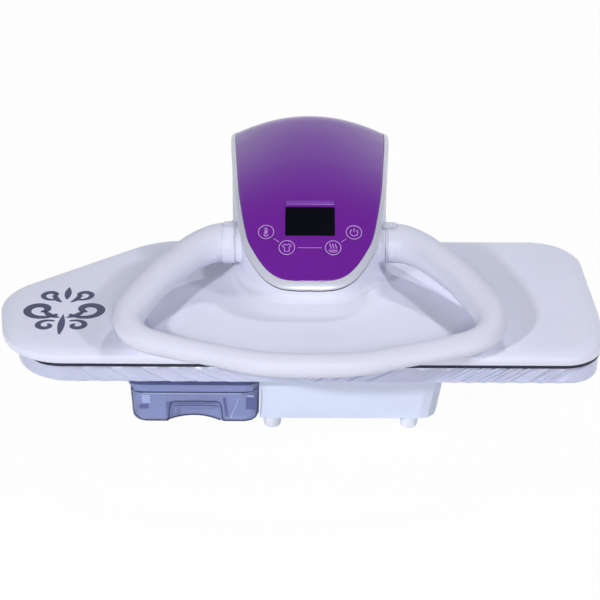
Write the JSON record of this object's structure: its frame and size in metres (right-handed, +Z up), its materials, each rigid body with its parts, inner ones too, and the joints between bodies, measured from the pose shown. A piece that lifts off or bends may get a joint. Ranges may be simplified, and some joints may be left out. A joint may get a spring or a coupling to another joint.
{
  "type": "steam ironing press",
  "caption": "Table-top steam ironing press with a long padded board, a hinged heated head, a looped handle, a sloping control panel and a slide-out water tank.",
  "frame": {"origin": "middle of the whole press's footprint, on the floor", "axes": "+X to the right along the board as the operator sees it, +Y from the operator towards the hinge, +Z up"},
  "size_m": [0.66, 0.4272, 0.2433],
  "materials": {
    "cover_fabric": "soft metallised cotton",
    "foam": "open-cell foam",
    "steel": "zinc plated",
    "aluminium": "cast and ground",
    "white_plastic": "satin moulded",
    "purple_plastic": "high gloss",
    "silver_trim": "silver lacquered",
    "black_window": "high gloss",
    "dark_plastic": "matt moulded",
    "foot_rubber": "matt",
    "hose_rubber": "matt",
    "tank_clear": "clear tinted",
    "circuit": "coated board"
  },
  "bodies": {
    "base": {"board_cover": "cover_fabric", "board_foam_pad": "foam", "board_tray": "steel", "base_housing": "white_plastic", "base_bottom_plate": "steel", "foot_front_left": "foot_rubber", "foot_front_right": "foot_rubber", "foot_rear_left": "foot_rubber", "foot_rear_right": "foot_rubber", "base_screw_1": "steel", "base_screw_2": "steel", "base_screw_3": "steel", "base_screw_4": "steel", "board_support_front": "steel", "board_support_rear": "steel", "hinge_bracket": "steel", "hinge_pin": "steel", "hinge_spring_left": "steel", "hinge_spring_right": "steel", "water_pump": "dark_plastic", "tank_socket": "dark_plastic", "suction_hose": "hose_rubber", "pressure_hose": "hose_rubber", "power_board": "circuit", "transformer": "dark_plastic", "cord_gland": "hose_rubber", "tank_rail_left": "white_plastic", "tank_rail_right": "white_plastic", "link_pin": "steel"},
    "press_head": {"top_shell": "white_plastic", "heating_plate": "aluminium", "heating_element": "steel", "heat_shield": "aluminium", "thermostat": "dark_plastic", "press_arm": "steel", "arm_bolt_1": "steel", "arm_bolt_2": "steel", "arm_bolt_3": "steel", "arm_bolt_4": "steel", "control_trim": "silver_trim", "arm_housing": "white_plastic", "control_panel": "purple_plastic", "display_window": "black_window", "display_module": "dark_plastic", "control_board": "circuit"},
    "handle": {"handle_loop": "white_plastic", "handle_shaft": "steel", "hub_washer_left": "steel", "hub_washer_right": "steel", "handle_crank": "steel", "crank_pin": "steel"},
    "pull_link": {"pull_link": "steel"},
    "water_tank": {"tank_cup": "tank_clear", "tank_lid": "tank_clear", "tank_valve": "dark_plastic"},
    "filler_cap": {"filler_cap": "dark_plastic"},
    "heat_key": {"heat_key": "purple_plastic"},
    "fabric_key": {"fabric_key": "purple_plastic"},
    "steam_key": {"steam_key": "purple_plastic"},
    "power_key": {"power_key": "purple_plastic"}
  },
  "joints": [
    {"name": "press_arm_hinge", "type": "hinge", "parent": "base", "child": "press_head", "pos_m": [0.011, 0.156, 0.118], "axis": [-1, 0, 0], "range_deg": [0, 45]},
    {"name": "handle_hinge", "type": "hinge", "parent": "press_head", "child": "handle", "pos_m": [0.011, 0.007, 0.1635], "axis": [-1, 0, 0], "range_deg": [0, 18]},
    {"name": "pull_link_hinge", "type": "hinge", "parent": "base", "child": "pull_link", "pos_m": [0.011, 0.1511, 0.1295], "axis": [-1, 0, 0], "range_deg": [0, 51]},
    {"name": "tank_slide", "type": "slide", "parent": "base", "child": "water_tank", "axis": [0, -1, 0], "range_m": [0, 0.15]},
    {"name": "filler_cap_turn", "type": "hinge", "parent": "water_tank", "child": "filler_cap", "pos_m": [-0.11575, -0.07, 0.06], "axis": [0, 0, 1], "range_deg": [0, 90]},
    {"name": "heat_key_press", "type": "slide", "parent": "press_head", "child": "heat_key", "axis": [0.0615, 0.5388, -0.8402], "range_m": [0, 0.0008], "stiffness_N_per_m": 700},
    {"name": "fabric_key_press", "type": "slide", "parent": "press_head", "child": "fabric_key", "axis": [0.0269, 0.5938, -0.8042], "range_m": [0, 0.0008], "stiffness_N_per_m": 700},
    {"name": "steam_key_press", "type": "slide", "parent": "press_head", "child": "steam_key", "axis": [-0.0269, 0.5938, -0.8042], "range_m": [0, 0.0008], "stiffness_N_per_m": 700},
    {"name": "power_key_press", "type": "slide", "parent": "press_head", "child": "power_key", "axis": [-0.0615, 0.5388, -0.8402], "range_m": [0, 0.0008], "stiffness_N_per_m": 700}
  ],
  "couplings": [
    {"joint": "handle_hinge", "follows": "press_arm_hinge", "ratio": 0.4},
    {"joint": "pull_link_hinge", "follows": "press_arm_hinge", "ratio": 1.132}
  ]
}
